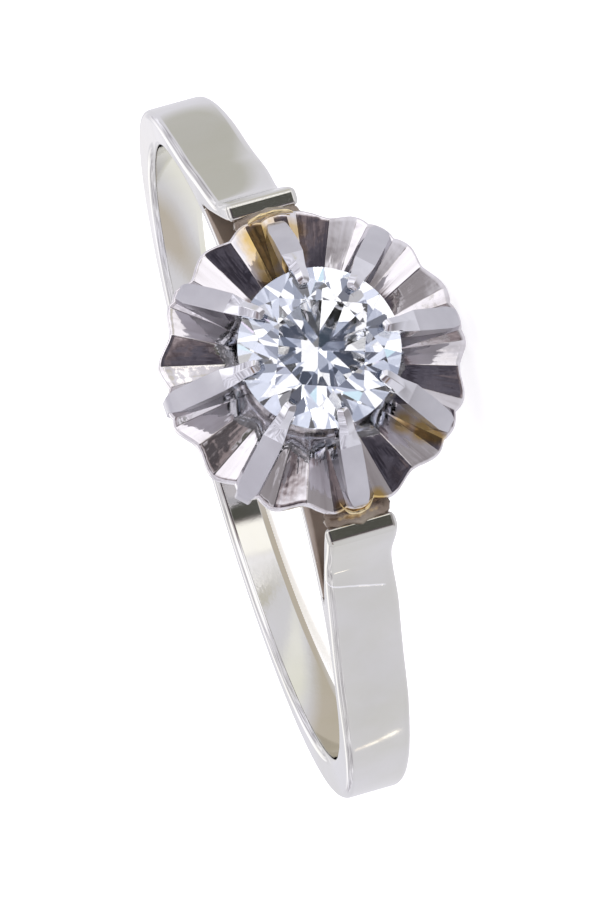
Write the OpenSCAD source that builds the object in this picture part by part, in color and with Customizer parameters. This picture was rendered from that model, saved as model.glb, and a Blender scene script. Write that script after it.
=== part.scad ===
// Solitaire ring, lying on its side on a flat surface.
// It is drawn with the finger along Y and the head up Z, around the centre of the finger hole,
// and is then laid down.

/* [Finger hole] */
// Radius of the finger hole
finger_r = 8.6; // [8.5:0.05:8.7]

/* [Band] */
// Width of the band behind the finger
back_w = 1.15; // [0.9:0.05:1.4]
// Width of the band at its shoulders
shoulder_w = 1.9; // [1.6:0.05:2.2]
// Thickness of the band behind the finger
back_t = 0.78; // [0.7:0.02:0.9]
// Thickness of the band where it is thickest, beside the finger
side_t = 1.04; // [0.95:0.01:1.1]
// Thickness of the band where its shoulders start
shoulder_t = 0.62; // [0.55:0.01:0.7]
// Thickness of the bridge under the head
bridge_t = 0.55; // [0.5:0.01:0.6]

/* [Shoulders] */
// Height of the flat lips above the centre of the finger hole
lip_z = 11.1; // [11:0.02:11.2]
// Distance from the head's axis to the outer edge of a lip
lip_x = 4.65; // [4.55:0.05:4.8]
// Depth of a lip's flat top
lip_t = 0.52; // [0.4:0.02:0.56]
// Angle from the head's axis at which a shoulder leaves the bridge
fork_a = 37.5; // [36:0.5:39]

/* [Cup] */
// Radius of the rim at the tips between its scallops
rim_r = 3.95; // [3.85:0.05:4]
// Height of the rim's lower edge at the tips
rim_z = 11.2; // [11.16:0.02:11.24]
// Height of the rim's upper edge at the tips
plate_z = 11.6; // [11.5:0.02:11.64]
// How far the rim steps in between the tips
scallop = 0.22; // [0.1:0.02:0.26]
// How far the crests of the flutes stand above their troughs at the rim
flute_h = 0.2; // [0.1:0.02:0.24]
// Radius outside the collet at its neck under the plate
neck_r = 2.5; // [2.4:0.05:2.6]
// Height of the collet's neck
neck_z = 11.1; // [11.05:0.01:11.12]
// Radius of the collet at its base on the bridge
base_r = 1.35; // [1.25:0.05:1.45]
// Thickness of the collet's wall
wall_t = 0.25; // [0.2:0.01:0.3]
// Radius of the throat where the dished middle drops into the collet
throat_r = 1.9; // [1.8:0.05:2]
// Depth of the throat below the plate
throat_depth = 0.45; // [0.3:0.05:0.5]

/* [Claws] */
// Number of claws
claws = 8; // [8]
// Width of a claw at the rim
claw_w = 0.62; // [0.54:0.02:0.68]
// Width of a claw at its tip
tip_w = 0.26; // [0.2:0.02:0.34]
// Distance from the head's axis to the knees of the claws, where they bend over the rim
knee_r = 4.02; // [4:0.01:4.08]

/* [Stone] */
// Diameter of the stone
stone_d = 4.2; // [4.1:0.05:4.3]
// Height of the stone's girdle
girdle_z = 13.2; // [13.1:0.05:13.3]
// Width of the table as a share of the diameter
table_share = 0.57; // [0.53:0.01:0.62]
// Height of the crown as a share of the diameter
crown_share = 0.15; // [0.13:0.01:0.17]
// Depth of the pavilion as a share of the diameter
pavilion_share = 0.43; // [0.41:0.01:0.45]
// Gap between the stone and the claws
stone_gap = 0.03; // [0.02:0.01:0.05]

/* [Hidden] */
$fn = 96;
// How far a cutting shape runs past what it cuts
overrun = 1;

// Band: angles from the head's axis where the shoulders start and where the band is thickest
bridge_r = finger_r + bridge_t;
shoulder_a = 54;
side_a = 100;
// Angle between two points of a round stretch, and pieces of a bent one
step_a = 3;
bend_steps = 12;
// Bevel on the ends of a lip
lip_bevel = 0.14;

// Cup: its base sinks into the bridge, its floor lies above it, and its wall flares by flare
sides = 4 * claws;
base_z = bridge_r - 0.15;
floor_z = bridge_r + 0.2;
flare = (neck_r - base_r) / (neck_z - base_z);
inside_base = base_r - wall_t * sqrt(1 + flare * flare);
// The flutes end on the plate's inner edge
inner_z = plate_z + flute_h / 2;
inner_r = inside_base + flare * (inner_z - base_z);

// Solder between the lips and the cup
solder_w = 1.3;
solder_h = 0.45;

// Stone
stone_r = stone_d / 2;
girdle_t = 0.06;
girdle_high = girdle_z + girdle_t / 2;
girdle_low = girdle_z - girdle_t / 2;
table_r = table_share * stone_r;
table_z = girdle_high + crown_share * stone_d;
culet_z = girdle_low - pavilion_share * stone_d;
// Number of main facets, and the angle between two corners of the girdle
mains = 8;
corner_a = 180 / mains;

// Claws: the knee's upright face, the shoulder beside the girdle, the tip and the seat
knee_low = rim_z - 0.2;
knee_high = plate_z;
knee_round = 0.32;
rib_t = 0.3;
beside_girdle = [stone_r + 0.34, girdle_z + 0.18];
tip = [stone_r - 0.35, girdle_z + 0.5];
tip_t = 0.1;
seat = [stone_r - 0.22, girdle_z - 0.32];

// Lean that brings the claws and the back of the band down on the same surface
lean = atan2(knee_r - back_w / 2, knee_low + finger_r + back_t);

function ease(u) = let (v = min(max(u, 0), 1)) v * v * (3 - 2 * v);
function polar(r, a) = [r * sin(a), r * cos(a)];
function bend(p, q, s, u) = (1 - u) * (1 - u) * p + 2 * u * (1 - u) * q + u * u * s;
function mirrored(points) =
    [for (i = [len(points) - 1 : -1 : 0]) [-points[i][0], points[i][1]]];

// Thickness of the band at an angle from the head's axis
function band_t(a) =
    shoulder_t
    + (side_t - shoulder_t) * ease((a - shoulder_a) / (side_a - shoulder_a))
    - (side_t - back_t) * ease((a - side_a) / (180 - side_a));

// Half of the shank's outline: round the band, up the shoulder, over the lip and down to the bridge
shoulder_start = polar(finger_r + band_t(shoulder_a), shoulder_a);
shoulder_turn = [lip_x + 1.13, lip_z - 3.37];
lip_outer = [lip_x, lip_z];
lip_inner = [lip_x - lip_t, lip_z];
fork_turn = [lip_x + 0.1, lip_z - 2.45];
fork = polar(bridge_r, fork_a);
half_outline = concat(
    [for (a = [180 : -step_a : shoulder_a + step_a]) polar(finger_r + band_t(a), a)],
    [for (i = [0 : bend_steps]) bend(shoulder_start, shoulder_turn, lip_outer, i / bend_steps)],
    [for (i = [0 : bend_steps]) bend(lip_inner, fork_turn, fork, i / bend_steps)],
    [for (a = [fork_a - step_a : -step_a : step_a / 2]) polar(bridge_r, a)]
);

// Lays the ring on its side, with the head towards -Y and the finger nearly upright
module lay_down() {
    rotate([-lean, 0, 0]) rotate([-90, 0, 180]) children();
}

// Extrudes an outline drawn in X and Z along the finger, centred on it
module along_finger(width) {
    rotate([90, 0, 0]) linear_extrude(width, center = true) children();
}

// Band, bridge and both shoulders, with the finger hole through them
module shank() {
    back_z = -finger_r - back_t;
    // Seen from the side, the strip narrows from its shoulders to the back of the finger
    half_strip = [
        [back_w / 2, back_z],
        [shoulder_w / 2, finger_r / 2],
        [shoulder_w / 2, lip_z - lip_bevel],
        [shoulder_w / 2 - lip_bevel, lip_z],
    ];
    color("#cfcdc6")
        difference() {
            intersection() {
                along_finger(shoulder_w + overrun)
                    polygon(concat(half_outline, mirrored(half_outline)));
                rotate([90, 0, 90])
                    linear_extrude(2 * (finger_r + side_t + overrun), center = true)
                        polygon(concat(half_strip, mirrored(half_strip)));
            }
            rotate([90, 0, 0])
                cylinder(r = finger_r, h = shoulder_w + 2 * overrun, center = true);
        }
}

// One level of the cup: crests under and halfway between the claws, troughs at the rim's tips
function level(r, z, step_in, rise) = [
    for (i = [0 : sides - 1])
        let (a = i * 360 / sides, crest = i % 2 == 0 ? 1 : 0, here = r - crest * step_in)
            [here * cos(a), here * sin(a), z + crest * rise]
];

// Two triangles between two levels, split so that the flutes are mirrored
function patch(low, high, i, j, rising) =
    rising
        ? [[low + i, high + i, low + j], [low + j, high + i, high + j]]
        : [[low + i, high + i, high + j], [low + i, high + j, low + j]];

// Fluted plate on a flared collet
module cup() {
    levels = [
        level(base_r, base_z, 0, 0),
        level(neck_r, neck_z, 0, 0),
        level(rim_r, rim_z, scallop, flute_h),
        level(rim_r, plate_z, scallop, flute_h),
        level(inner_r, inner_z, 0, 0),
        level(throat_r, inner_z - throat_depth, 0, 0),
        level(inside_base + flare * (floor_z - base_z), floor_z, 0, 0),
    ];
    last = len(levels) - 1;
    color("#c9c6cb")
        polyhedron(
            points = [for (l = levels) each l],
            faces = concat(
                [[for (i = [0 : sides - 1]) i]],
                [
                    for (l = [0 : last - 1], i = [0 : sides - 1])
                        each patch(l * sides, (l + 1) * sides, i, (i + 1) % sides, i % 2 == 0)
                ],
                [[for (i = [sides - 1 : -1 : 0]) last * sides + i]]
            ),
            convexity = 4
        );
}

// One claw along +X: an arm under the plate, a knee over its rim and a bar up to the stone.
// Its side outline and its plan are drawn apart and meet.
module claw() {
    outline = [
        // Inside the plate and the collet's wall, so that cup and claw are one
        [rim_r - scallop - 0.08, plate_z],
        [neck_r, neck_z + wall_t],
        [base_r - wall_t / 2, base_z],
        // Out along the arm and over the knee
        [base_r + rib_t, base_z],
        [neck_r + rib_t, neck_z - rib_t / 2],
        [knee_r, knee_low],
        [knee_r, knee_high],
        [knee_r - knee_round / 3, knee_high + knee_round * 2 / 3],
        [knee_r - knee_round, knee_high + knee_round],
        // Up to the stone and over its edge
        beside_girdle,
        [stone_r + 0.1, tip[1] - 0.09],
        [stone_r - 0.12, tip[1] + 0.02],
        tip,
        [tip[0], tip[1] - tip_t],
        seat,
    ];
    half_plan = [
        [knee_r, claw_w / 3],
        [knee_r - 0.12, claw_w / 2],
        [beside_girdle[0], claw_w * 0.4],
        [tip[0], tip_w / 2],
        [0, tip_w / 2],
    ];
    color("#dcdadd")
        intersection() {
            along_finger(claw_w + overrun) polygon(outline);
            linear_extrude(table_z)
                polygon(concat(half_plan, [
                    for (i = [len(half_plan) - 1 : -1 : 0]) [half_plan[i][0], -half_plan[i][1]]
                ]));
        }
}

// Room for the stone between the claws
module stone_seat() {
    rotate_extrude()
        polygon([
            [0, culet_z - 2 * stone_gap],
            [stone_r + stone_gap, girdle_low - stone_gap],
            [stone_r + stone_gap, girdle_high + stone_gap],
            [table_r + stone_gap, table_z + stone_gap],
            [0, table_z + stone_gap],
        ]);
}

// Solder that joins a lip to the cup and to the claw beside it
module solder() {
    plate_r = rim_r - scallop;
    inside_lip = lip_x - lip_t / 2;
    color("#c9b183")
        along_finger(solder_w)
            polygon([
                [plate_r, rim_z + flute_h],
                [inside_lip, lip_z],
                [inside_lip, lip_z - solder_h],
                [plate_r - solder_h, rim_z],
            ]);
}

// All that is metal, soldered into one
module mounting() {
    shank();
    cup();
    for (side = [0, 180]) rotate(side) solder();
    difference() {
        for (i = [0 : claws - 1]) rotate(i * 360 / claws) claw();
        stone_seat();
    }
}

// Round brilliant: table, stars, kites and halves above the girdle, mains and halves below it
module stone() {
    // The stars reach halfway from the table's edge to the girdle, and lie on the kites' planes
    star_r = (table_r * cos(corner_a) + stone_r) / 2;
    star_z = girdle_high
        + (table_z - girdle_high) * (stone_r - star_r * cos(corner_a)) / (stone_r - table_r);
    // The lower halves reach three quarters of the way to the culet, on the mains' planes
    half_r = stone_r / 4;
    half_z = culet_z + (girdle_low - culet_z) * half_r * cos(corner_a) / stone_r;
    corners = 2 * mains;
    star = mains;
    top = star + mains;
    under = top + corners;
    half = under + corners;
    culet = half + mains;
    points = concat(
        [for (i = [0 : mains - 1]) [each polar(table_r, 2 * i * corner_a), table_z]],
        [for (i = [0 : mains - 1]) [each polar(star_r, (2 * i + 1) * corner_a), star_z]],
        [for (i = [0 : corners - 1]) [each polar(stone_r, i * corner_a), girdle_high]],
        [for (i = [0 : corners - 1]) [each polar(stone_r, i * corner_a), girdle_low]],
        [for (i = [0 : mains - 1]) [each polar(half_r, (2 * i + 1) * corner_a), half_z]],
        [[0, 0, culet_z]]
    );
    function next(i, count) = (i + 1) % count;
    crown = [
        for (i = [0 : mains - 1])
            let (j = next(i, mains), g = 2 * i, m = g + 1, h = next(m, corners))
                each [
                    [i, star + i, j],
                    [j, star + i, top + h, star + j],
                    [star + i, top + g, top + m],
                    [star + i, top + m, top + h],
                ]
    ];
    girdle = [
        for (i = [0 : corners - 1])
            let (j = next(i, corners))
                [top + i, under + i, under + j, top + j]
    ];
    pavilion = [
        for (i = [0 : mains - 1])
            let (j = next(i, mains), g = 2 * i, m = g + 1, h = next(m, corners))
                each [
                    [under + g, half + i, under + m],
                    [under + m, half + i, under + h],
                    [under + h, half + i, culet, half + j],
                ]
    ];
    color("#dfe6f2")
        polyhedron(
            points = points,
            faces = concat([[for (i = [0 : mains - 1]) i]], crown, girdle, pavilion),
            convexity = 2
        );
}

lay_down() mounting();
lay_down() stone();
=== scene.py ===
"""Solitaire ring lying on its side: finer pieces, materials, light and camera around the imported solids.

Shapes are drawn as in the CAD source, in millimetres and degrees, with the finger along Y and the head up Z.
place() lays them down into the row frame, in metres.
"""
import math

import bmesh
import bpy
from mathutils import Matrix, Vector


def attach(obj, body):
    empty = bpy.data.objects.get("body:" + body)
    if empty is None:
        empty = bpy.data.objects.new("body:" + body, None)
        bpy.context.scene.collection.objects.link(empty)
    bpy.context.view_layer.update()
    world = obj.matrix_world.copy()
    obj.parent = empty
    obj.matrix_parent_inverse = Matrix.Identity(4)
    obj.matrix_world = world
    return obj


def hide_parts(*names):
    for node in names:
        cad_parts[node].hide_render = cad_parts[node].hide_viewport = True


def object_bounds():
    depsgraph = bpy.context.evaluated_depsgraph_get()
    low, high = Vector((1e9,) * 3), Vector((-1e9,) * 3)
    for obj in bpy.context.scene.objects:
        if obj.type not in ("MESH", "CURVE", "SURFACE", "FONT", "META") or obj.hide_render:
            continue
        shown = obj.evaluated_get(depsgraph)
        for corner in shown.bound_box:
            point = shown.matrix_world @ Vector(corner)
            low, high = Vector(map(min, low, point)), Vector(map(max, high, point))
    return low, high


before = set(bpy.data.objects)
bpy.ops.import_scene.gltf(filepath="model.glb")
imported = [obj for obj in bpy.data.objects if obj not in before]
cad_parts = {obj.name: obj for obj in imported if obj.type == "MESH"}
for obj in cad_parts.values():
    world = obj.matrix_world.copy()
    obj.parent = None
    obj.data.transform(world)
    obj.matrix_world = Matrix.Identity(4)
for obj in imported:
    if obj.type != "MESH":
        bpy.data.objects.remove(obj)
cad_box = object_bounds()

MM = 0.001
STAGE_Z = cad_box[0][2]

# Band: the hole, then widths and thicknesses at the back, the sides and the shoulders
FINGER_R = 8.6
BACK_W, SHOULDER_W = 1.15, 1.9
BACK_T, SIDE_T, SHOULDER_T = 0.78, 1.14, 0.59
BRIDGE_R = 9.15
LIP_X, LIP_Z, LIP_T = 4.65, 11.1, 0.52
# Angles from the head where the shoulders fork and begin, and where the band is thickest
FORK_A, SHOULDER_A, SIDE_A = 37.5, 54.0, 93.0
# Points that pull the shoulders' curves outwards, and how far the outer one is drawn in again under the lip
OUTER_PULL, INNER_PULL = (LIP_X + 1.13, LIP_Z - 3.37), (LIP_X + 0.1, LIP_Z - 2.45)
WAIST = 0.24
# Widths of the rounded edges
SHANK_ROUND, CLAW_ROUND = 0.24, 0.05
# Head: the plate's top and its rim's underside, the flutes' height, and where the collet's ends are
PLATE_Z, RIM_Z = 11.6, 11.2
FLUTE_H = 0.2
NECK_R, NECK_Z = 2.5, 11.1
BASE_R, BASE_Z = 1.35, 9.0
STONE_R, GIRDLE_Z, TABLE_R, TABLE_Z, CULET_Z = 2.1, 13.2, 1.197, 13.86, 11.364
STONE_AT = (-0.04, 0.0)
STONE_TURN = 3.0
# The ring leans until the band's edge at the back and the lowest claw's knee both touch the table
KNEE_R, KNEE_Z = 4.02, RIM_Z - 0.2
LEAN = math.atan2(KNEE_R - BACK_W / 2, KNEE_Z + FINGER_R + BACK_T)
COS_L, SIN_L = math.cos(LEAN), math.sin(LEAN)


def turned(x, y, z):
    return Vector((-x, -z * COS_L - y * SIN_L, z * SIN_L - y * COS_L))


def place(x, y, z):
    """Ring millimetres to the row frame, in metres."""
    return turned(x, y, z) * MM


def heading(x, y, z):
    """A direction drawn with the ring, in the row frame."""
    return turned(x, y, z).normalized()


def polar(r, a):
    """A point of the ring's outline, at an angle from the head."""
    return (r * math.sin(math.radians(a)), r * math.cos(math.radians(a)))


def ring_point(r, a, z):
    """A point at a radius and an angle round the head."""
    return (r * math.cos(math.radians(a)), r * math.sin(math.radians(a)), z)


def ease(u):
    u = min(max(u, 0.0), 1.0)
    return u * u * (3 - 2 * u)


def lerp(a, b, u):
    return a + (b - a) * u


def bend(p, q, s, u):
    """A point on the curve from p to s that q pulls at."""
    return tuple((1 - u) ** 2 * a + 2 * u * (1 - u) * b + u * u * c for a, b, c in zip(p, q, s))


# Camera, fitted to the photo's view of the ring: where it looks, how far off it is, where from, and its roll
TARGET = Vector((-0.34030, -0.16846, -0.68404)) * MM
DISTANCE = 216.34 * MM
AZIMUTH, ELEVATION, ROLL = map(math.radians, (-99.0287, 17.8116, 104.2289))
LENS, SENSOR = 320, 36


def add_camera():
    back = Vector((
        math.cos(ELEVATION) * math.cos(AZIMUTH),
        math.cos(ELEVATION) * math.sin(AZIMUTH),
        math.sin(ELEVATION),
    ))
    level_up = (Vector((0, 0, 1)) - back * back.z).normalized()
    level_right = level_up.cross(back)
    up = level_up * math.cos(ROLL) + level_right * math.sin(ROLL)
    right = up.cross(back)
    data = bpy.data.cameras.new("camera")
    data.lens = LENS
    data.sensor_width = SENSOR
    data.clip_start = 0.02
    data.clip_end = 5
    camera = bpy.data.objects.new("camera", data)
    turn = Matrix((right, up, back)).transposed().to_4x4()
    camera.matrix_world = Matrix.Translation(TARGET + back * DISTANCE) @ turn
    bpy.context.scene.collection.objects.link(camera)
    bpy.context.scene.camera = camera


# Nodes
MEASURES = ("DISTANCE", "LENGTH", "DOT_PRODUCT")


class Nodes:
    """Short calls for the node tree of a material or a world.

    Each gives back an output, and takes a number, a colour or another node's output as a value.
    """

    def __init__(self, owner, output, coords):
        owner.use_nodes = True
        self.owner = owner
        self.tree = owner.node_tree
        self.tree.nodes.clear()
        self.out = self.add(output)
        self.place = self.add("ShaderNodeTexCoord").outputs[coords]

    def add(self, kind, **values):
        node = self.tree.nodes.new(kind)
        for key, value in values.items():
            setattr(node, key, value)
        return node

    def feed(self, socket, value):
        if isinstance(value, bpy.types.NodeSocket):
            self.tree.links.new(value, socket)
        else:
            socket.default_value = value

    def number(self, operation, *values):
        node = self.add("ShaderNodeMath", operation=operation)
        for socket, value in zip(node.inputs, values):
            self.feed(socket, value)
        return node.outputs[0]

    def vector(self, operation, *values, scale=None):
        node = self.add("ShaderNodeVectorMath", operation=operation)
        for socket, value in zip(node.inputs, values):
            self.feed(socket, value)
        if scale is not None:
            self.feed(node.inputs["Scale"], scale)
        return node.outputs["Value" if operation in MEASURES else "Vector"]

    def noise(self, scale, detail=3.0, rough=0.5, at=None):
        node = self.add("ShaderNodeTexNoise")
        self.feed(node.inputs["Vector"], self.place if at is None else at)
        node.inputs["Scale"].default_value = scale
        node.inputs["Detail"].default_value = detail
        node.inputs["Roughness"].default_value = rough
        return node.outputs["Fac"]

    def streaks(self, turns, out):
        """Noise drawn out along lines from the head's middle, and the distance from there.

        turns is how much it changes in a radian round the head, and out how much in a metre outwards.
        """
        axis = heading(0, 0, 1)
        flat = self.vector("SUBTRACT", self.place, self.vector("PROJECT", self.place, axis))
        radius = self.vector("LENGTH", flat)
        round_about = self.vector("SCALE", self.vector("NORMALIZE", flat), scale=turns)
        outwards = self.vector("SCALE", axis * out, scale=radius)
        return self.noise(1.0, 1.6, at=self.vector("ADD", round_about, outwards)), radius

    def ramp(self, fac, stops, interpolation="LINEAR"):
        node = self.add("ShaderNodeValToRGB")
        ramp = node.color_ramp
        ramp.interpolation = interpolation
        while len(ramp.elements) < len(stops):
            ramp.elements.new(0.5)
        for element, (at, colour) in zip(ramp.elements, stops):
            element.position = at
            element.color = (*colour, 1)
        self.feed(node.inputs["Fac"], fac)
        return node.outputs["Color"]

    def span(self, value, low, high, from_low=0.3, from_high=0.7, interpolation="LINEAR"):
        node = self.add("ShaderNodeMapRange", interpolation_type=interpolation)
        node.inputs["From Min"].default_value = from_low
        node.inputs["From Max"].default_value = from_high
        node.inputs["To Min"].default_value = low
        node.inputs["To Max"].default_value = high
        self.feed(node.inputs["Value"], value)
        return node.outputs["Result"]

    def mix(self, fac, low, high, blend="MIX"):
        node = self.add("ShaderNodeMix", data_type="RGBA", blend_type=blend)
        for index, value in ((0, fac), (6, low), (7, high)):
            self.feed(node.inputs[index], value)
        return node.outputs[2]

    def bump(self, height, strength, distance, normal=None):
        node = self.add("ShaderNodeBump")
        self.feed(node.inputs["Strength"], strength)
        self.feed(node.inputs["Distance"], distance)
        self.feed(node.inputs["Height"], height)
        if normal is not None:
            self.feed(node.inputs["Normal"], normal)
        return node.outputs["Normal"]


def material_nodes(name):
    return Nodes(bpy.data.materials.new(name), "ShaderNodeOutputMaterial", "Object")


# Materials
# Noise scales of the grain in all metal, of the solder's ragged edges and of the plate's dents
GRAIN_SCALE, RAGGED_SCALE, DENT_SCALE = 9000, 2600, 3400
# The plate's drawn lines: how many to a radian and to a metre, and from where to where they fade in
STREAK_TURNS, STREAK_OUT = 17, 420
STREAK_FROM, STREAK_TO = 2.1 * MM, 2.8 * MM
GOLD_TINT = (0.72, 0.52, 0.21)
RUN_TINT = (0.78, 0.56, 0.24)
# Where yellow solder has run over the plate: distance and angle round the head, height, reach and strength
GOLD = [
    (3.5, 187, 11.7, 0.55, 1.0), (2.9, 188, 11.7, 0.5, 1.0), (2.4, 190, 11.7, 0.35, 1.0),
    (3.5, 172, 11.7, 0.36, 0.8), (2.9, 171, 11.7, 0.3, 0.5),
    (3.3, 41, 11.7, 0.36, 1.0), (2.75, 39, 11.7, 0.34, 0.9), (3.65, 42, 11.7, 0.3, 1.0),
    (3.85, 353.5, 11.6, 0.22, 0.8), (3.85, 8, 11.6, 0.3, 1.0),
    (3.75, 180, 11.3, 0.4, 1.0), (3.9, 1, 11.3, 0.35, 1.0),
]
# The solder's own yellow, in the joints under the claws; elsewhere the solder's dark brown is painted shade
RUN_X, RUN_Z, RUN_REACH = 4.12, 11.40, 0.15
RUN_Y = (-0.5, -0.34, -0.17, 0.0, 0.17, 0.34, 0.5)


def gild(n, colour, spots, tint):
    """Tints a colour in ragged spots: each has a point, how far it reaches, and how strong it is."""
    ragged = n.noise(RAGGED_SCALE, 3)
    for point, reach, strength in spots:
        far = n.vector("DISTANCE", n.place, place(*point))
        edge = n.number("MULTIPLY_ADD", ragged, reach * MM * 0.8, far)
        colour = n.mix(n.span(edge, strength, 0.0, reach * MM * 0.9, reach * MM * 1.5), colour, (*tint, 1))
    return colour


def painted_highlight_line(n, base, start, slope, thick, until):
    """A painted highlight: a fine white line across a shoulder, and where it is.

    It begins start mm up the ring, falls by slope across it, and ends at until mm across.
    """
    across = place(0, 1, 0) / MM
    level = n.vector("DOT_PRODUCT", n.place, (place(0, 0, 1) - slope * place(0, 1, 0)) / MM)
    wander = n.number("MULTIPLY_ADD", n.noise(1500, 2), 0.12 * MM, level)
    off = n.number("ABSOLUTE", n.number("SUBTRACT", wander, start * MM + 0.06 * MM))
    fac = n.span(off, 1.0, 0.0, thick * MM * 0.5, thick * MM)
    split = n.add("ShaderNodeSeparateXYZ")
    n.feed(split.inputs[0], n.place)
    for limit in (
        n.span(n.vector("DOT_PRODUCT", n.place, across), 1.0, 0.0, (until - 0.1) * MM, until * MM),
        n.span(split.outputs["X"], 1.0, 0.0, -4 * MM, -3 * MM),
    ):
        fac = n.number("MULTIPLY", fac, limit)
    return n.mix(fac, base, (1.0, 1.0, 1.0, 1)), fac


def metal(
    name, tones, rough, patch, wave, wave_scale,
    grain=1e-6, streak=0.0, dent=0.0, gold=(), tint=GOLD_TINT, highlight_line=None, metallic=1.0,
):
    """Worn precious metal, its tones drifting in patches, with fine grain and soft waves in the polish.

    rough is a range, patch and wave_scale are noise scales, and wave, grain, streak and dent are heights in
    metres. Streaks are the lines drawn outwards in the plate, and dents the small hollows between them.
    gold and tint go to gild(), and highlight_line goes to painted_highlight_line(), which paints a white
    highlight line across a shoulder.
    """
    n = material_nodes(name)
    shader = n.add("ShaderNodeBsdfPrincipled")
    shader.inputs["Metallic"].default_value = metallic
    drift = n.noise(patch, 4)
    worked = 1.0
    if streak:
        lines, radius = n.streaks(STREAK_TURNS, STREAK_OUT)
        worked = n.span(radius, 0.12, 1.0, STREAK_FROM, STREAK_TO)
        drift = n.number("MULTIPLY_ADD", lines, 0.6, n.span(drift, 0.0, 0.4, 0.0, 1.0))
    colour = n.ramp(drift, list(zip((0.3, 0.5, 0.7), tones)))
    if gold:
        colour = gild(n, colour, gold, tint)
    # Painted highlight: a white line across a shoulder, with a faint raised ridge in the bump below
    if highlight_line:
        colour, highlight_mask = painted_highlight_line(n, colour, *highlight_line)
    n.feed(shader.inputs["Base Color"], colour)
    n.feed(shader.inputs["Roughness"], n.span(n.noise(patch * 2.3, 5), *rough))
    normal = n.bump(n.noise(GRAIN_SCALE, 4, rough=0.6), 0.5, grain)
    normal = n.bump(n.noise(wave_scale, 3), worked, wave, normal)
    if streak:
        normal = n.bump(lines, worked, streak, normal)
    if dent:
        normal = n.bump(n.noise(DENT_SCALE, 2), worked, dent, normal)
    if highlight_line:
        normal = n.bump(highlight_mask, 1.0, 4e-6, normal)
    n.feed(shader.inputs["Normal"], normal)
    n.feed(n.out.inputs["Surface"], shader.outputs[0])
    return n.owner


def diamond(name):
    n = material_nodes(name)
    shader = n.add("ShaderNodeBsdfPrincipled")
    shader.inputs["Base Color"].default_value = (0.97, 0.985, 1.0, 1)
    shader.inputs["Transmission Weight"].default_value = 1.0
    shader.inputs["IOR"].default_value = 2.417
    n.feed(shader.inputs["Roughness"], n.span(n.noise(900, 2), 0.012, 0.035))
    n.feed(n.out.inputs["Surface"], shader.outputs[0])
    return n.owner


def build_materials():
    return {
        "shank": metal(
            "white_gold_band",
            [(0.70, 0.695, 0.635), (0.745, 0.74, 0.715), (0.775, 0.77, 0.775)],
            # The last values place the painted highlight line across the shoulder: start, slope, thickness
            # and end
            (0.03, 0.10), patch=300, wave=6e-6, wave_scale=260, highlight_line=(8.50, -0.30, 0.04, 0.62),
        ),
        # Painted shade: dark brown, partly diffuse metal for the fork's inner walls and the bridge, where
        # shade falls between the shoulders
        "painted_shade": metal(
            "white_gold_painted_shade",
            [(0.29, 0.23, 0.18), (0.37, 0.305, 0.25), (0.45, 0.385, 0.33)],
            (0.12, 0.28), patch=600, wave=8e-6, wave_scale=500, metallic=0.55,
        ),
        "cup": metal(
            "white_gold_plate",
            [(0.65, 0.615, 0.625), (0.80, 0.775, 0.795), (0.91, 0.89, 0.92)],
            (0.03, 0.12), patch=700, wave=30e-6, wave_scale=950, streak=11e-6, dent=1.8e-6,
            gold=[(ring_point(r, a, z), reach, strength) for r, a, z, reach, strength in GOLD],
        ),
        "claw": metal(
            "white_gold_satin",
            [(0.58, 0.575, 0.61), (0.63, 0.625, 0.66), (0.67, 0.665, 0.70)],
            (0.30, 0.44), patch=900, grain=6e-6, wave=5e-6, wave_scale=700,
        ),
        "prong": metal(
            "white_gold_prong",
            [(0.72, 0.72, 0.76), (0.80, 0.80, 0.84), (0.86, 0.86, 0.90)],
            (0.04, 0.12), patch=900, wave=8e-6, wave_scale=1200,
        ),
        # Solder between lip and plate: its dark brown is painted shade in the recess, and its yellow spots
        # are the solder's own colour
        "solder": metal(
            "gold_solder_painted_shade",
            [(0.17, 0.13, 0.10), (0.25, 0.20, 0.16), (0.38, 0.335, 0.27)],
            (0.08, 0.22), patch=900, wave=8e-6, wave_scale=1000, tint=RUN_TINT, metallic=0.8,
            gold=[((side * RUN_X, y, RUN_Z), RUN_REACH, 1.0) for side in (1, -1) for y in RUN_Y],
        ),
        "thread": metal(
            "gold_thread",
            [(0.72, 0.54, 0.26), (0.84, 0.68, 0.38), (0.93, 0.82, 0.55)],
            (0.08, 0.20), patch=2000, wave=4e-6, wave_scale=2500,
        ),
        "stone": diamond("brilliant"),
    }


# Meshes
def shape(name, points, faces, second=()):
    """A mesh of ring-millimetre points, its faces turned outwards. Listed faces take the second material."""
    mesh = bpy.data.meshes.new(name)
    mesh.from_pydata([place(*p) for p in points], [], faces)
    for index in second:
        mesh.polygons[index].material_index = 1
    bm = bmesh.new()
    bm.from_mesh(mesh)
    bmesh.ops.remove_doubles(bm, verts=bm.verts, dist=1e-7)
    bmesh.ops.recalc_face_normals(bm, faces=bm.faces)
    bm.to_mesh(mesh)
    bm.free()
    for polygon in mesh.polygons:
        polygon.use_smooth = True
    return mesh


def ring_faces(rings, around):
    """Quads from each ring of points to the next."""
    faces = []
    for i in range(rings - 1):
        for j in range(around):
            k = (j + 1) % around
            faces.append((i * around + j, i * around + k, (i + 1) * around + k, (i + 1) * around + j))
    return faces


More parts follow.
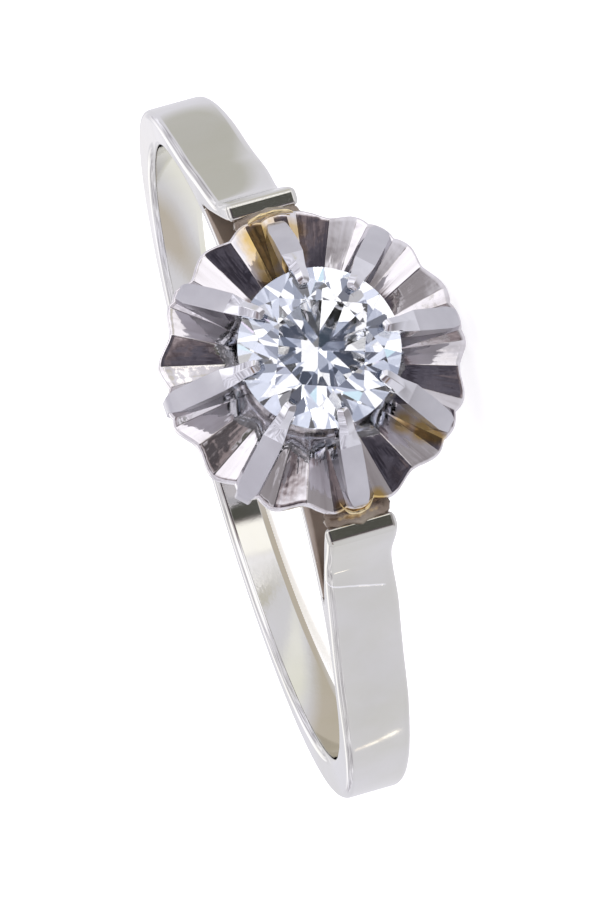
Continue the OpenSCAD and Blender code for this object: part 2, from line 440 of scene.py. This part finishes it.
def weigh_edges(mesh):
    """Marks the shank's edges for rounding: soft along the band, crisper at the lips, none at the forks."""
    crisp, fade = 0.7, 1.4
    lip_from, fork_from = LIP_Z - 1.6, 0.25
    x, z = polar(BRIDGE_R, FORK_A)
    forks = [place(x, 0, z), place(-x, 0, z)]
    bm = bmesh.new()
    bm.from_mesh(mesh)
    weight = bm.edges.layers.float.new("bevel_weight_edge")
    for edge in bm.edges:
        if edge.calc_face_angle(0.0) <= math.radians(30):
            continue
        # The edge's middle, moved to the middle of the strip
        middle = (edge.verts[0].co + edge.verts[1].co) / 2
        middle -= place(0, middle.dot(place(0, 1, 0)) / MM ** 2, 0)
        up = middle.dot(heading(0, 0, 1)) / MM
        value = lerp(1.0, crisp, ease((up - lip_from) / fade)) if edge.is_convex else 0.0
        if any(face.material_index == 1 for face in edge.link_faces):
            off = min((middle - fork).length for fork in forks) / MM
            value *= ease((off - fork_from) / fade)
        edge[weight] = value
        edge.smooth = value > 0
    bm.to_mesh(mesh)
    bm.free()


def finish_mesh(piece, bevel, segments, limit="ANGLE"):
    """Rounds the edges and keeps the result in the mesh itself."""
    mod = piece.modifiers.new("round", "BEVEL")
    mod.width = bevel * MM
    mod.segments = segments
    mod.limit_method = limit
    mod.angle_limit = math.radians(35)
    mod.use_clamp_overlap = True
    mod.harden_normals = True
    graph = bpy.context.evaluated_depsgraph_get()
    mesh = bpy.data.meshes.new_from_object(piece.evaluated_get(graph), depsgraph=graph)
    old = piece.data
    piece.modifiers.clear()
    piece.data = mesh
    bpy.data.meshes.remove(old)


# Shank
def band_t(a):
    """The band's thickness at an angle from the head."""
    return (
        SHOULDER_T
        + (SIDE_T - SHOULDER_T) * ease((a - SHOULDER_A) / (SIDE_A - SHOULDER_A))
        - (SIDE_T - BACK_T) * ease((a - SIDE_A) / (180 - SIDE_A))
    )


def half_width(z):
    low, high = -FINGER_R - BACK_T, FINGER_R / 2
    return lerp(BACK_W, SHOULDER_W, min(max((z - low) / (high - low), 0), 1)) / 2


def outer_line(u):
    """Up the shoulder's outside, with the waist under the lip."""
    start = polar(FINGER_R + band_t(SHOULDER_A), SHOULDER_A)
    x, z = bend(start, OUTER_PULL, (LIP_X, LIP_Z), u)
    return (x - WAIST * ease((u - 0.30) / 0.45) * ease((1 - u) / 0.32), z)


def inner_line(u):
    """Down the shoulder's inside, from the lip to the fork."""
    return bend((LIP_X - LIP_T, LIP_Z), INNER_PULL, polar(BRIDGE_R, FORK_A), u)


def shank_mesh():
    """Band, bridge and both shoulders as one skin of quads between an inner and an outer line."""
    fork_u = 0.4
    band_steps, root_steps, plate_steps, bridge_steps = 168, 16, 24, 50
    # Two steps are left out before the lip, so that its rounded edge has room
    plate_stops = [*range(1, plate_steps - 2), plate_steps]
    points, faces, shaded_faces = [], [], []

    def pair(x, z, pinch=0.0):
        """Both ends across the strip of a point in its outline."""
        w = half_width(z)
        points.append((x, w - pinch, z))
        points.append((x, -w, z))
        return len(points) - 2

    def station(side, inner, outer, pinch=0.0):
        """An inner and an outer point on one side of the ring."""
        return (pair(side * inner[0], inner[1], pinch), pair(side * outer[0], outer[1], pinch))

    def skin(line):
        """Walls and sides along a list of stations."""
        for (a, b), (c, d) in zip(line, line[1:]):
            faces.extend([
                (a, a + 1, c + 1, c), (b, d, d + 1, b + 1),
                (a, c, d, b), (a + 1, b + 1, d + 1, c + 1),
            ])

    ends = {}
    back = station(1, polar(FINGER_R, 180), polar(FINGER_R + BACK_T, 180))
    for side in (1, -1):
        line = [back]
        for i in range(1, band_steps + 1):
            a = 180 - (180 - SHOULDER_A) * i / band_steps
            line.append(station(side, polar(FINGER_R, a), polar(FINGER_R + band_t(a), a)))
        for i in range(1, root_steps + 1):
            u = i / root_steps
            line.append(station(side, polar(FINGER_R, lerp(SHOULDER_A, FORK_A, u)), outer_line(fork_u * u)))
        skin(line[:-1])
        x, z = polar(BRIDGE_R, FORK_A)
        fork = pair(side * x, z)
        (a, b), (c, d) = line[-2:]
        faces.extend([
            (a, a + 1, c + 1, c), (b, d, d + 1, b + 1),
            (a, c, fork, d, b), (a + 1, b + 1, d + 1, fork + 1, c + 1),
        ])
        plate = [(fork, d)]
        for i in plate_stops:
            u = i / plate_steps
            pinch = 0.09 * ease(u / 0.55) * ease((1 - u) / 0.45)
            plate.append(station(side, inner_line(1 - u), outer_line(lerp(fork_u, 1, u)), pinch))
        # The plate's inner walls take the second material, the painted shade
        shaded_faces += range(len(faces), len(faces) + 4 * (len(plate) - 1), 4)
        skin(plate)
        a, b = plate[-1]
        faces.append((a, a + 1, b + 1, b))
        ends[side] = (c, fork)
    bridge = [ends[1]]
    for i in range(1, bridge_steps):
        a = lerp(FORK_A, -FORK_A, i / bridge_steps)
        bridge.append(station(1, polar(FINGER_R, a), polar(BRIDGE_R, a)))
    bridge.append(ends[-1])
    # The bridge's outer face takes the painted shade too
    shaded_faces += range(len(faces) + 1, len(faces) + 4 * (len(bridge) - 1), 4)
    skin(bridge)
    return shape("shank", points, faces, shaded_faces)


# Cup
# Each claw: its angle and the reach of its outer end
CLAWS = [
    (0.99, 3.943), (48.46, 3.902), (91.45, 3.949), (136.49, 3.944),
    (178.63, 3.771), (226.4, 3.919), (271.25, 3.988), (316.26, 4.021),
]
# From each claw to the next: distance and height of the ridge beside it, the trough, crest and trough
# between them with the crest's height, and height and distance of the ridge before the next claw
FLUTES = [
    (0.40, 0.60, 14.0, 25.7, 38.0, 1.0, 0.45, 0.40),
    (0.40, 0.55, 60.0, 72.0, 82.6, 1.0, 0.35, 0.33),
    (0.42, 0.50, 104.0, 115.5, 125.0, 0.9, 0.50, 0.38),
    (0.37, 0.40, 146.5, 157.0, 170.0, 0.9, 0.35, 0.34),
    (0.36, 0.50, 190.0, 198.5, 209.0, 0.8, 0.95, 0.39),
    (0.30, 0.35, 233.0, 244.0, 256.0, 1.0, 0.80, 0.41),
    (0.35, 0.35, 279.5, 290.5, 302.5, 1.0, 0.75, 0.35),
    (0.33, 0.60, 328.0, 340.0, 350.7, 1.0, 0.45, 0.36),
]
# Distance and height of the rows up the throat's wall
THROAT = [
    (1.25, 9.35), (1.27, 10.4), (1.31, 11.0), (1.37, 11.25),
    (1.47, 11.41), (1.6, 11.5), (1.78, 11.56), (2.0, 11.61),
]
# How far the rows round the rim's edge stand out and lie below its top
RIM_EDGE = [
    (0.022, 0.005), (0.042, 0.019), (0.057, 0.04), (0.066, 0.07), (0.07, 0.2),
    (0.066, 0.33), (0.057, 0.36), (0.035, 0.385), (0.0, 0.4),
]


def cup_columns():
    """Lines round the plate: two marks, the place between them, and the height between trough and crest."""
    columns = []
    steps = [0.0, 0.04, 0.1, 0.25, 0.5, 0.75, 0.9, 0.96]
    beside, beside_rise, under_claw = 0.72, 0.7, 0.05
    angles = [angle for angle, _ in CLAWS]
    angles.append(angles[0] + 360)
    for here, there, flute in zip(angles, angles[1:], FLUTES):
        off, rise, low, crest, low_too, top, rise_too, off_too = flute
        marks = [
            (here, 0, under_claw), (here, off * beside, rise * beside_rise), (here, off, rise),
            (low, 0, 0.0), (crest, 0, top), (low_too, 0, 0.0),
            (there, -off_too, rise_too), (there, -off_too * beside, rise_too * beside_rise),
            (there, 0, under_claw),
        ]
        for m0, m1 in zip(marks, marks[1:]):
            columns += [(m0, m1, s, lerp(m0[2], m1[2], s)) for s in steps]
    return columns


def mark_angle(mark, r):
    """A mark is radial, or runs beside a claw at a fixed distance."""
    return mark[0] + math.degrees(math.asin(max(-0.99, min(mark[1] / r, 0.99))))


def cup_mesh():
    """Fluted plate, its rim, the collet under it and the dished middle, as one closed skin."""
    tip_r, scallop, edge = 3.98, 0.22, 0.06
    inner_r, inner_z = 2.2, 11.64
    plate_steps, under_steps, collet_steps = 20, 8, 6
    columns = cup_columns()

    def plate_r(h):
        """The plate's radius inside its rounded edge."""
        return tip_r - scallop * (1 - math.cos(math.pi * h)) / 2 - edge

    # Rows from the floor of the throat outwards, over the rim and back under the plate
    rows = [("throat", r, z) for r, z in THROAT]
    rows += [("plate", i / plate_steps, 0) for i in range(plate_steps + 1)]
    rows += [("rim", out, drop) for out, drop in RIM_EDGE]
    rows += [("under", i / under_steps, 0) for i in range(1, under_steps + 1)]
    rows += [("collet", i / collet_steps, 0) for i in range(1, collet_steps + 1)]
    points = []
    for kind, p, q in rows:
        for m0, m1, s, h in columns:
            if kind == "throat":
                r, z = p, q
            elif kind == "plate":
                r = lerp(inner_r, plate_r(h), p)
                z = lerp(inner_z, PLATE_Z, ease(p)) + FLUTE_H * h * p ** 0.75
            elif kind == "rim":
                r = plate_r(h) + p
                z = PLATE_Z + FLUTE_H * h - q
            elif kind == "under":
                r = lerp(plate_r(h), NECK_R, p)
                z = lerp(RIM_Z + FLUTE_H * h, NECK_Z, p)
            else:
                r = lerp(NECK_R, BASE_R, p)
                z = lerp(NECK_Z, BASE_Z, p)
            points.append(ring_point(r, lerp(mark_angle(m0, r), mark_angle(m1, r), s), z))
    around = len(columns)
    caps = [tuple(range(around)), tuple(range((len(rows) - 1) * around, len(rows) * around))]
    return shape("cup", points, caps + ring_faces(len(rows), around))


# Claws
def claw_mesh(name, angle, reach):
    """An arm under the plate, a knee over its rim, a flat bar, and a roof-shaped prong over the stone's edge.

    Each station has its outer line, its inner line, two half widths, and how far the outer line's edges
    lie below its middle.
    """
    stations = [
        ((1.65, 9.0), (1.2, 9.0), 0.22, 0.22, 0.0),
        ((2.8, 10.95), (2.5, 11.3), 0.25, 0.25, 0.0),
        ((reach - 0.06, 11.0), (3.6, 11.3), 0.22, 0.26, 0.0),
        ((reach, 11.12), (3.6, 11.45), 0.19, 0.27, 0.0),
        ((reach, 11.60), (3.6, 11.55), 0.18, 0.28, 0.0),
        ((reach - 0.05, 11.77), (3.56, 11.62), 0.22, 0.29, 0.0),
        ((reach - 0.14, 11.88), (3.48, 11.70), 0.26, 0.29, 0.0),
        ((reach - 0.26, 11.98), (3.36, 11.80), 0.29, 0.29, 0.0),
        ((3.1, 12.62), (2.8, 12.2), 0.295, 0.28, 0.0),
        ((2.62, 13.13), (2.4, 12.5), 0.285, 0.26, 0.0),
        ((2.36, 13.42), (1.92, 12.9), 0.22, 0.22, 0.16),
        ((2.26, 13.53), (2.14, 13.12), 0.20, 0.20, 0.15),
        ((2.18, 13.60), (2.14, 13.29), 0.19, 0.19, 0.12),
        ((1.95, 13.74), (1.95, 13.42), 0.18, 0.18, 0.10),
        ((1.80, 13.76), (1.80, 13.53), 0.16, 0.15, 0.09),
        ((1.70, 13.71), (1.71, 13.59), 0.12, 0.11, 0.05),
        ((1.66, 13.66), (1.67, 13.61), 0.07, 0.06, 0.02),
    ]
    prong_from, corners = 9, 5
    turn = math.radians(angle)
    c, s = math.cos(turn), math.sin(turn)
    points = []
    for (ro, zo), (ri, zi), wo, wi, roof in stations:
        # The roof's edges drop at right angles to the outer line, which rises at about 45 degrees
        drop = roof * 0.7
        section = [
            (ro, 0, zo), (ro - drop, -wo, zo - drop), (ri, -wi, zi), (ri, wi, zi), (ro - drop, wo, zo - drop),
        ]
        points += [(r * c - y * s, r * s + y * c, z) for r, y, z in section]
    first_cap = tuple(reversed(range(corners)))
    last_cap = tuple(range(len(points) - corners, len(points)))
    faces = ring_faces(len(stations), corners) + [first_cap, last_cap]
    prong = [i for i, face in enumerate(faces) if min(face) >= corners * prong_from]
    return shape(name, points, faces, prong)


# Solder
def bead_mesh(name, side, rings, around, at):
    """A run of solder beside the head. at() takes a place along it, from -1 to 1, and an angle round it."""
    points = []
    for i in range(rings):
        v = i / (rings - 1) * 2 - 1
        for j in range(around):
            x, y, z = at(v, math.tau * j / around)
            points.append((side * x, y, z))
    return shape(name, points, ring_faces(rings, around))


def solder_mesh(name, side):
    """Solder run in between a lip and the plate: thick under the claw, thin towards the lip's ends."""
    half_length, middle_x, middle_z = 0.9, 3.97, 11.12
    thick_x, thick_z, tilt = 0.30, 0.20, 0.10

    def at(v, t):
        fat = math.sqrt(max(0.0, 1 - v ** 8)) * (0.86 + 0.22 * math.exp(-(2.4 * v) ** 2))
        fat *= 1 + 0.05 * math.sin(9 * v + side) + 0.02 * math.sin(19 * v)
        fat *= 1 + 0.04 * math.sin(3 * t + 6 * v) + 0.015 * math.sin(5 * t - 11 * v)
        x = middle_x + thick_x * fat * math.cos(t)
        z = middle_z + thick_z * fat * math.sin(t) - tilt * math.cos(t)
        return x, half_length * v, z

    return bead_mesh(name, side, 41, 20, at)


def thread_mesh(name, side, reach, low, back, rise):
    """A fine run of gold solder round a claw's foot.

    reach is how far it goes to each side, low its height in front, and back and rise how far its ends draw
    back and climb over the plate's rim.
    """
    front_x, thickness = 4.03, 0.055

    def at(v, t):
        climb = abs(v) ** 2.8
        thick = thickness * math.sqrt(max(0.0, 1 - v ** 6)) * (1 + 0.16 * math.sin(11 * v + side))
        x = front_x - back * climb + thick * math.cos(t)
        z = low + rise * climb + thick * math.sin(t)
        return x, reach * v, z

    return bead_mesh(name, side, 49, 12, at)


THREADS = {
    "thread_low": (1, 0.46, 11.48, 0.30, 0.32),
    "thread_high": (-1, 0.62, 11.62, 0.16, 0.13),
}


# Stone
def stone_mesh():
    """Round brilliant, cut from a many-sided blank by its facets' planes."""
    sides, mains = 96, 8
    main_a, half_a = 45, 22.5
    half_girdle = 0.05
    top, low = GIRDLE_Z + half_girdle, GIRDLE_Z - half_girdle
    inside = Vector((0, 0, GIRDLE_Z - 0.2))
    points = []
    for z in (CULET_Z, TABLE_Z):
        points += [
            (STONE_R * math.cos(math.tau * i / sides), STONE_R * math.sin(math.tau * i / sides), z)
            for i in range(sides)
        ]
    bm = bmesh.new()
    verts = [bm.verts.new(p) for p in points]
    bm.faces.new(verts[:sides])
    bm.faces.new(verts[sides:])
    for i in range(sides):
        j = (i + 1) % sides
        bm.faces.new((verts[i], verts[j], verts[sides + j], verts[sides + i]))
    bmesh.ops.recalc_face_normals(bm, faces=bm.faces)

    def ray(r, a, z):
        return Vector(ring_point(r, a, z))

    def cut(a, b, c):
        """Takes away what lies outside the plane through three points."""
        normal = (b - a).cross(c - a).normalized()
        if normal.dot(a - inside) < 0:
            normal = -normal
        geom = bm.verts[:] + bm.edges[:] + bm.faces[:]
        cutting = bmesh.ops.bisect_plane(
            bm, geom=geom, dist=1e-6, plane_co=a, plane_no=normal, clear_outer=True
        )
        edges = [e for e in cutting["geom_cut"] if isinstance(e, bmesh.types.BMEdge)]
        if edges:
            bmesh.ops.contextual_create(bm, geom=edges)

    # Where stars and halves meet on the crown, and where halves and mains meet on the pavilion
    cos_half = math.cos(math.radians(half_a))
    star_r = (TABLE_R * cos_half + STONE_R) / 2
    crown_slope = (TABLE_Z - top) / (STONE_R - TABLE_R)
    star_z = top + crown_slope * (STONE_R - star_r * cos_half)
    half_r = STONE_R / 4.4
    pavilion_slope = (low - CULET_Z) / STONE_R
    half_z = CULET_Z + pavilion_slope * half_r * cos_half
    for i in range(mains):
        a = i * main_a
        star = ray(star_r, a + half_a, star_z)
        half = ray(half_r, a + half_a, half_z)
        # Kite, the main below it, and star
        cut(ray(STONE_R, a, top), ray(TABLE_R, a, TABLE_Z), star)
        cut(ray(STONE_R, a, low), ray(0, 0, CULET_Z), half)
        cut(ray(TABLE_R, a, TABLE_Z), ray(TABLE_R, a + main_a, TABLE_Z), star)
        # Halves
        for g in (a, a + main_a):
            cut(ray(STONE_R, g, top), ray(STONE_R, a + half_a, top), star)
            cut(ray(STONE_R, g, low), ray(STONE_R, a + half_a, low), half)
    bmesh.ops.remove_doubles(bm, verts=bm.verts, dist=1e-5)
    bmesh.ops.recalc_face_normals(bm, faces=bm.faces)
    turn = math.radians(STONE_TURN)
    for v in bm.verts:
        x, y, z = v.co
        v.co = place(
            x * math.cos(turn) - y * math.sin(turn) + STONE_AT[0],
            x * math.sin(turn) + y * math.cos(turn) + STONE_AT[1],
            z,
        )
    mesh = bpy.data.meshes.new("brilliant")
    bm.to_mesh(mesh)
    bm.free()
    return mesh


# Light and stage
FLOOR_R, CARD_R = 0.6, 0.55


def disc(name, segments, radius, z, material):
    """A flat round sheet, level in the row frame."""
    mesh = bpy.data.meshes.new(name)
    bm = bmesh.new()
    bmesh.ops.create_circle(bm, cap_ends=True, cap_tris=False, segments=segments, radius=radius)
    for v in bm.verts:
        v.co.z = z
    bm.to_mesh(mesh)
    bm.free()
    mesh.materials.append(material)
    return bpy.data.objects.new(name, mesh)


def add_floor():
    n = material_nodes("pale_floor")
    shader = n.add("ShaderNodeBsdfPrincipled")
    colour = n.ramp(n.noise(60, 3), [(0.3, (0.93, 0.93, 0.93)), (0.7, (0.96, 0.96, 0.96))])
    n.feed(shader.inputs["Base Color"], colour)
    shader.inputs["Specular IOR Level"].default_value = 0.2
    shader.inputs["Roughness"].default_value = 0.8
    shader.inputs["Emission Color"].default_value = (1, 1, 1, 1)
    shader.inputs["Emission Strength"].default_value = 0.46
    n.feed(n.out.inputs["Surface"], shader.outputs[0])
    floor = disc("floor", 96, FLOOR_R, STAGE_Z, n.owner)
    bpy.context.scene.collection.objects.link(floor)


# The studio is pale but for the camera's side, which is dark, and a few panels, most of them bright.
# Directions are degrees round from -Y towards +X, and degrees above the table.
DARK_SIDE = (-2, 17)
# Degrees from the dark side, and the colour there
STUDIO = [
    (0, (0.065, 0.062, 0.08)), (14, (0.09, 0.083, 0.10)), (19, (0.17, 0.14, 0.145)),
    (24, (0.36, 0.31, 0.31)), (29, (0.60, 0.57, 0.60)), (36, (0.80, 0.79, 0.83)),
]
# A panel's direction, its reach and its soft edge in degrees, and its colour
PANELS = [
    ((42, 14), 11, 12, (1.25, 1.23, 1.28)), ((60, 55), 16, 12, (1.4, 1.38, 1.4)),
    ((170, 20), 14, 12, (1.3, 1.28, 1.3)), ((22, -1), 5, 4, (1.3, 1.27, 1.22)),
    ((9.3, -0.5), 4.5, 2.5, (0.10, 0.10, 0.09)), ((-52, 17), 9, 5, (0.30, 0.22, 0.18)),
]
CLOUDS = [(0.36, (0.55, 0.53, 0.56)), (0.64, (1.4, 1.4, 1.42))]
# What the stone's inside sees: a smaller dark side, and brighter, bluer walls
LENS_SIDE = (-9, 17.8)
SPARKLE = [
    (0, (0.05, 0.06, 0.09)), (15, (0.09, 0.105, 0.15)), (21, (0.40, 0.44, 0.56)),
    (30, (0.90, 0.93, 1.05)), (58, (0.97, 1.0, 1.10)), (85, (0.84, 0.88, 0.99)),
]
# The fire in it: small panes of light, grey and pale colours
PANES = [
    (0.0, (0.62, 0.64, 0.72)), (0.14, (0.84, 0.86, 0.94)), (0.34, (0.96, 0.98, 1.05)),
    (0.60, (1.03, 1.04, 1.11)), (0.80, (1.16, 1.17, 1.22)), (0.87, (1.22, 1.08, 0.88)),
    (0.915, (0.86, 1.10, 1.12)), (0.96, (1.12, 0.92, 1.10)),
]


def sky(azimuth, elevation):
    azimuth, elevation = math.radians(azimuth), math.radians(elevation)
    level = math.cos(elevation)
    return Vector((level * math.sin(azimuth), -level * math.cos(azimuth), math.sin(elevation)))


def angle_from(n, direction):
    """How far a direction is from the given one, in degrees."""
    dot = n.vector("DOT_PRODUCT", n.place, sky(*direction))
    return n.number("MULTIPLY", n.number("ARCCOSINE", dot), 180 / math.pi)


def surround(n, direction, stops, spots, pattern):
    """A background whose colour follows the angle from a direction, with soft round spots on it."""
    share = n.number("DIVIDE", angle_from(n, direction), 180)
    colour = n.ramp(share, [(degrees / 180, tint) for degrees, tint in stops])
    colour = n.mix(1.0, colour, pattern, "MULTIPLY")
    for at, reach, soft, tint in spots:
        fade = n.span(angle_from(n, at), 0.0, 1.0, reach, reach + soft, "SMOOTHSTEP")
        colour = n.mix(fade, (*tint, 1), colour)
    background = n.add("ShaderNodeBackground")
    n.feed(background.inputs["Color"], colour)
    return background.outputs[0]


def choose(n, fac, low, high):
    mix = n.add("ShaderNodeMixShader")
    for socket, value in zip(mix.inputs, (fac, low, high)):
        n.feed(socket, value)
    return mix.outputs[0]


def add_world():
    """The studio for the metal, panes of light for the stone's inside, and a plain backdrop."""
    world = bpy.data.worlds.new("studio")
    bpy.context.scene.world = world
    n = Nodes(world, "ShaderNodeOutputWorld", "Generated")
    cells = n.add("ShaderNodeTexVoronoi")
    cells.inputs["Scale"].default_value = 8.0
    n.feed(cells.inputs["Vector"], n.place)
    split = n.add("ShaderNodeSeparateColor")
    n.feed(split.inputs[0], cells.outputs["Color"])
    walls = surround(n, DARK_SIDE, STUDIO, PANELS, n.ramp(n.noise(9, 4), CLOUDS))
    lens = surround(n, LENS_SIDE, SPARKLE, [], n.ramp(split.outputs[0], PANES, "CONSTANT"))
    plain = n.add("ShaderNodeBackground")
    plain.inputs["Color"].default_value = (0.97, 0.97, 0.97, 1)
    path = n.add("ShaderNodeLightPath")
    studio = choose(n, path.outputs["Is Transmission Ray"], walls, lens)
    n.feed(n.out.inputs["Surface"], choose(n, path.outputs["Is Camera Ray"], studio, plain.outputs[0]))


# Each soft light: where it is in the row frame, the side of its square, its power and its colour
LIGHTS = {
    "softbox_top": ((0.05, -0.05, 0.35), 0.25, 0.35, (1, 1, 1)),
    "softbox_side": ((0.3, -0.15, 0.12), 0.2, 0.2, (1.0, 0.97, 0.95)),
}
AIM = Vector((0, -0.008, 0))


def add_lights():
    for name, (centre, side, power, colour) in LIGHTS.items():
        data = bpy.data.lights.new(name, "AREA")
        data.shape = "RECTANGLE"
        data.size, data.size_y = side, side
        data.energy = power
        data.color = colour
        light = bpy.data.objects.new(name, data)
        light.location = centre
        light.rotation_euler = (AIM - Vector(centre)).to_track_quat("-Z", "Y").to_euler()
        light.visible_camera = False
        light.visible_glossy = False
        bpy.context.scene.collection.objects.link(light)


# What the metal sees of the table: pale, with soft patches. Each has its middle, reach and soft edge in mm
TABLE_TONE = (0.81, 0.80, 0.85)
TABLE = [
    ((38, -34), 16, 10, (0.67, 0.64, 0.57)), ((18.8, 1.8), 3.4, 2, (0.59, 0.58, 0.54)),
    ((-2.5, 7.5), 2, 2.5, (0.62, 0.56, 0.48)), ((6, 5), 2.5, 2.5, (1.0, 0.99, 0.94)),
    ((12, 36), 8, 8, (0.98, 0.96, 1.0)), ((-9, -60), 22, 9, (0.36, 0.31, 0.31)),
    ((-5, -42), 6, 5, (0.10, 0.09, 0.095)), ((8, -28), 7, 5, (1.15, 1.13, 1.16)),
    ((-4, -22), 6, 3.5, (0.35, 0.33, 0.34)), ((25, -160), 48, 24, (0.13, 0.125, 0.11)),
    ((60, -400), 250, 30, (0.12, 0.12, 0.10)), ((132, -170), 75, 18, (1.7, 1.65, 1.55)),
]
# A thin bright strip on it: middle, azimuth, length, width and brightness
STRIP_AT, STRIP_A = (-18.9, 2.5), 48.3
STRIP_LENGTH, STRIP_WIDTH = 5.4, 0.30
STRIP_GLOW = 2.2
STRIP_TONES = [(0.35, (0.50, 0.45, 0.42)), (0.65, (1.0, 0.95, 0.88))]
# The cards lie just above the floor, the strip on top
TABLE_LIFT, STRIP_LIFT = 0.00002, 0.00005


def glow_material(n, colour, strength=1.0):
    glow = n.add("ShaderNodeEmission")
    n.feed(glow.inputs["Color"], colour)
    glow.inputs["Strength"].default_value = strength
    n.feed(n.out.inputs["Surface"], glow.outputs[0])
    return n.owner


def glossy_only(card):
    """A card that only reflections see."""
    card.visible_camera = False
    card.visible_diffuse = False
    card.visible_transmission = False
    card.visible_shadow = False
    bpy.context.scene.collection.objects.link(card)


def add_table_glow():
    n = material_nodes("table_glow")
    tones = [(at, [c * share for c in TABLE_TONE]) for at, share in ((0.3, 0.96), (0.7, 1.04))]
    colour = n.ramp(n.noise(70, 2), tones)
    for (x, y), reach, soft, tint in TABLE:
        far = n.vector("DISTANCE", n.place, (x * MM, y * MM, STAGE_Z))
        colour = n.mix(n.span(far, 0.0, 1.0, reach * MM, (reach + soft) * MM), (*tint, 1), colour)
    glossy_only(disc("table_glow", 64, CARD_R, STAGE_Z + TABLE_LIFT, glow_material(n, colour)))


def add_strip():
    n = material_nodes("bright_strip")
    along = Vector((math.sin(math.radians(STRIP_A)), -math.cos(math.radians(STRIP_A)), 0))
    across = Vector((-along.y, along.x, 0))
    corners = []
    for i, j in ((-1, -1), (1, -1), (1, 1), (-1, 1)):
        corner = Vector((*STRIP_AT, 0)) + along * (STRIP_LENGTH / 2 * i) + across * (STRIP_WIDTH / 2 * j)
        corners.append((corner.x * MM, corner.y * MM, STAGE_Z + STRIP_LIFT))
    mesh = bpy.data.meshes.new("strip_0")
    mesh.from_pydata(corners, [], [(0, 1, 2, 3)])
    mesh.materials.append(glow_material(n, n.ramp(n.noise(700, 2), STRIP_TONES), STRIP_GLOW))
    glossy_only(bpy.data.objects.new("strip_0", mesh))


# The scene
pieces = []


def add_piece(name, mesh, looks, slot="white_gold", node="mounting"):
    for look in looks:
        mesh.materials.append(materials[look])
    piece = bpy.data.objects.new(name, mesh)
    bpy.context.scene.collection.objects.link(piece)
    pieces.append((piece, node, slot))
    return piece


add_camera()
materials = build_materials()

# The shank's second material is the painted shade in its forks and on its bridge
shank = add_piece("shank", shank_mesh(), ["shank", "painted_shade"])
weigh_edges(shank.data)
finish_mesh(shank, SHANK_ROUND, 5, "WEIGHT")
add_piece("cup", cup_mesh(), ["cup"])
for index, (angle, reach) in enumerate(CLAWS):
    name = "claw_%d" % (index + 1)
    claw = add_piece(name, claw_mesh(name, angle, reach), ["claw", "prong"])
    finish_mesh(claw, CLAW_ROUND, 2)
for name, side in (("solder_low", 1), ("solder_high", -1)):
    add_piece(name, solder_mesh(name, side), ["solder"])
for name, values in THREADS.items():
    add_piece(name, thread_mesh(name, *values), ["thread"])
add_piece("brilliant", stone_mesh(), ["stone"], "stone", "stone")

add_floor()
add_world()
add_lights()
add_table_glow()
add_strip()
bpy.context.scene.view_settings.view_transform = "Standard"

for piece, node, slot in pieces:
    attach(piece, "root")
    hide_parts(node)
